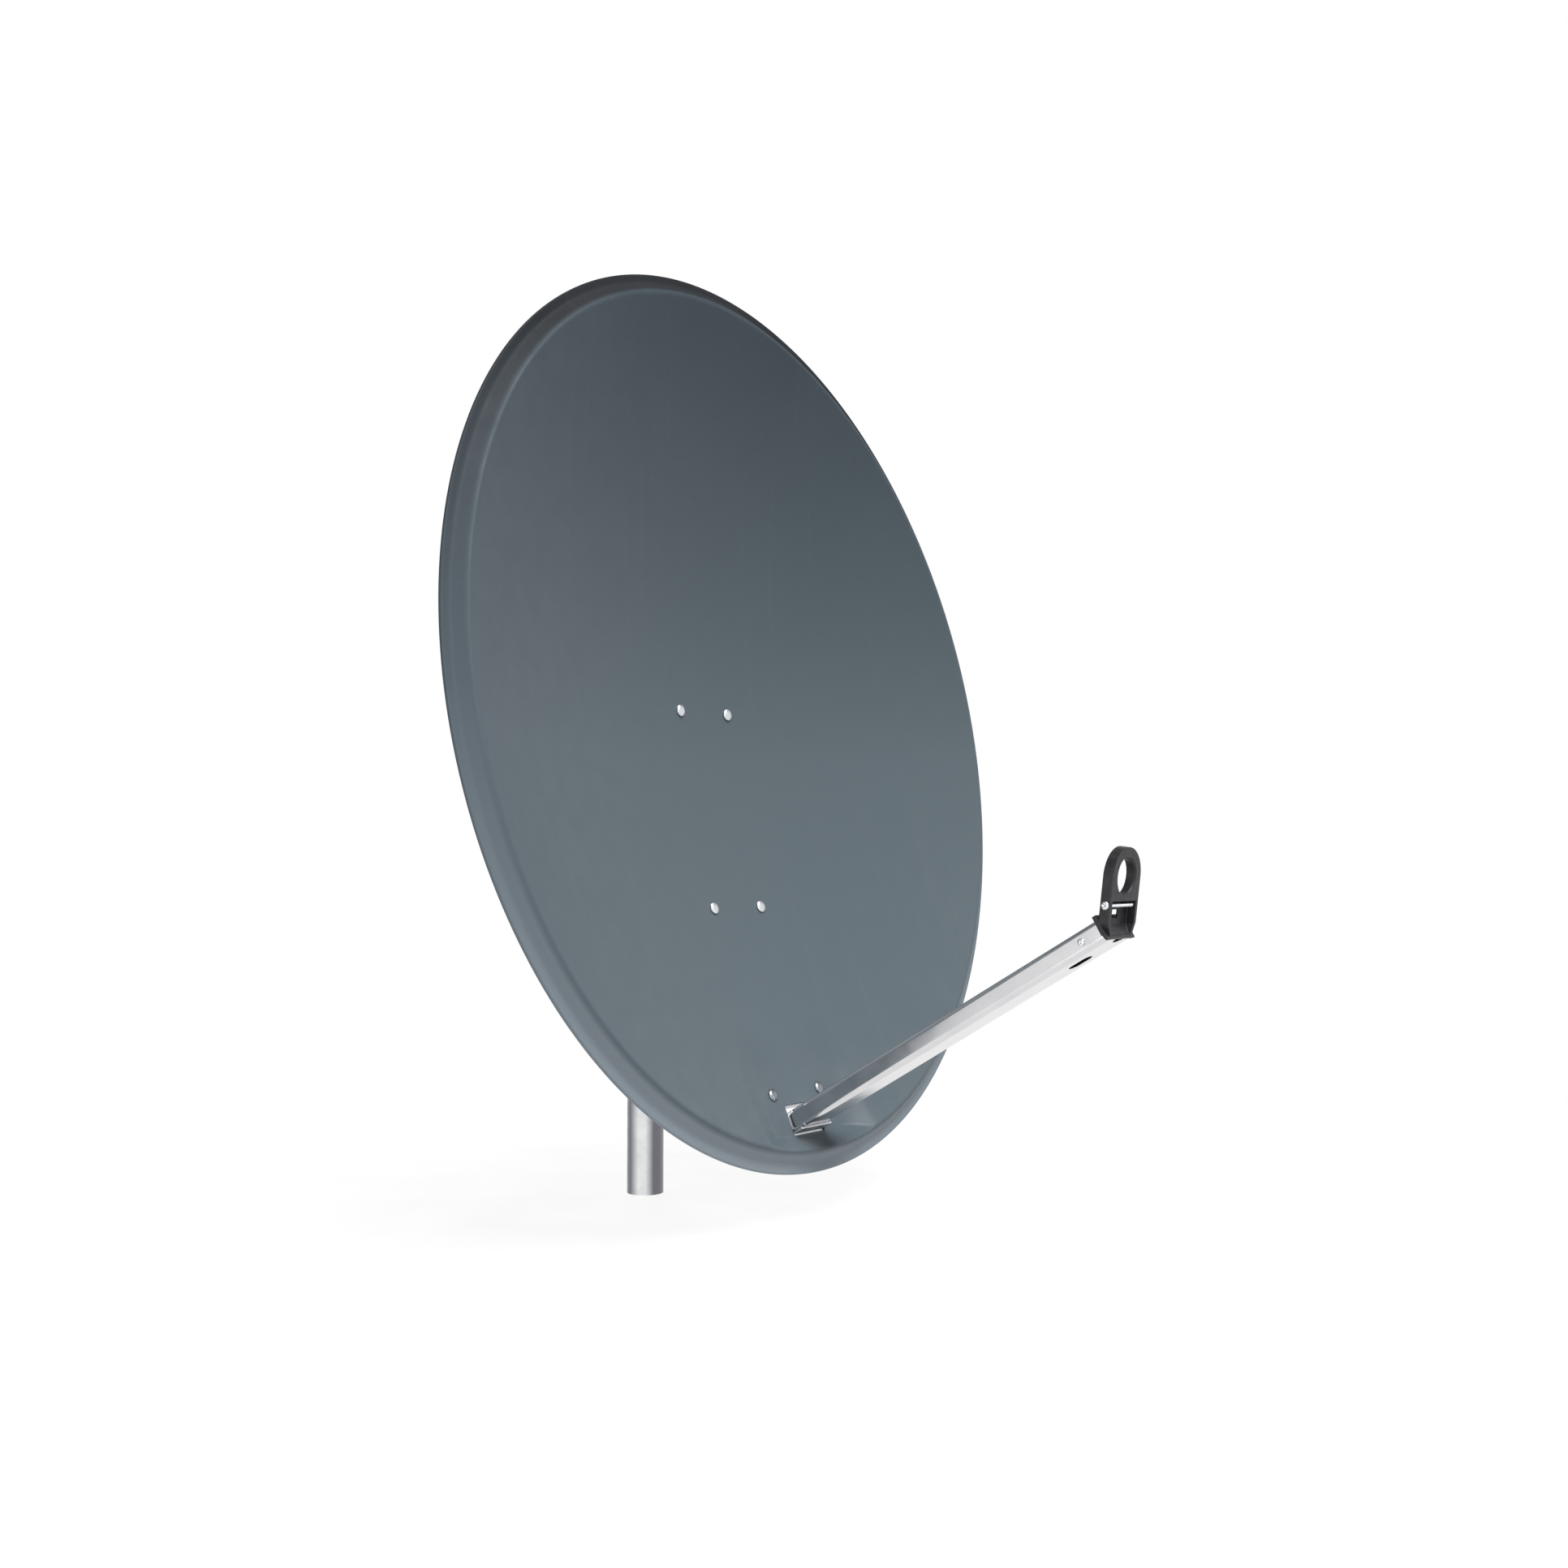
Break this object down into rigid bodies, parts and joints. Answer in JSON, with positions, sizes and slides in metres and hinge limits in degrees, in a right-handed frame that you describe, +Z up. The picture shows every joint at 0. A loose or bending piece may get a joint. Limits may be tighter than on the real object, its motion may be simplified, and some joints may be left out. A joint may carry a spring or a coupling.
{
  "type": "satellite dish",
  "caption": "Offset parabolic dish on a mast with a rectangular feed arm, an LNB ring holder and an azimuth-elevation mount.",
  "frame": {"origin": "centre of the mast's foot, on its cut lower end", "axes": "+Z up the mast, -Y towards the side the dish looks to, +X to the right seen from behind the dish"},
  "size_m": [1.056, 0.7432, 1.1999],
  "materials": {
    "reflector_coat": "satin powder coat, dark slate grey",
    "zinc": "bright zinc plate",
    "galvanised": "hot-dip galvanised",
    "arm_metal": "bright drawn",
    "black_plastic": "matt moulded"
  },
  "bodies": {
    "mast": {"mast_pole": "galvanised", "mast_cap": "black_plastic"},
    "azimuth_clamp": {"mast_bracket": "galvanised", "u_bolt_upper": "zinc", "u_bolt_lower": "zinc", "saddle_upper": "zinc", "saddle_lower": "zinc", "u_bolt_nut_upper_left": "zinc", "u_bolt_nut_upper_right": "zinc", "u_bolt_nut_lower_left": "zinc", "u_bolt_nut_lower_right": "zinc"},
    "dish": {"reflector": "reflector_coat", "back_bracket": "galvanised", "centre_bolt_1": "zinc", "centre_bolt_2": "zinc", "centre_bolt_3": "zinc", "centre_bolt_4": "zinc", "centre_nut_1": "zinc", "centre_nut_2": "zinc", "centre_nut_3": "zinc", "centre_nut_4": "zinc", "arm_bolt_left": "zinc", "arm_bolt_right": "zinc", "arm_nut_left": "zinc", "arm_nut_right": "zinc", "pivot_bolt": "zinc", "pivot_nut": "zinc", "lock_bolt_left": "zinc", "lock_bolt_right": "zinc", "lock_washer_left": "zinc", "lock_washer_right": "zinc", "lock_nut_left": "zinc", "lock_nut_right": "zinc", "arm_tube": "arm_metal", "arm_bracket": "galvanised", "arm_cross_bolt": "zinc", "arm_cross_nut": "zinc", "lnb_holder": "black_plastic", "holder_clamp_screw": "zinc", "holder_clamp_nut": "zinc", "holder_fixing_screw": "zinc"}
  },
  "joints": [
    {"name": "azimuth_turn", "type": "hinge", "parent": "mast", "child": "azimuth_clamp", "pos_m": [0, 0, 0.522], "axis": [0, 0, 1], "range_deg": [-180, 180]},
    {"name": "elevation_tilt", "type": "hinge", "parent": "azimuth_clamp", "child": "dish", "pos_m": [0, -0.06, 0.565], "axis": [-1, 0, 0], "range_deg": [-15, 25]}
  ]
}
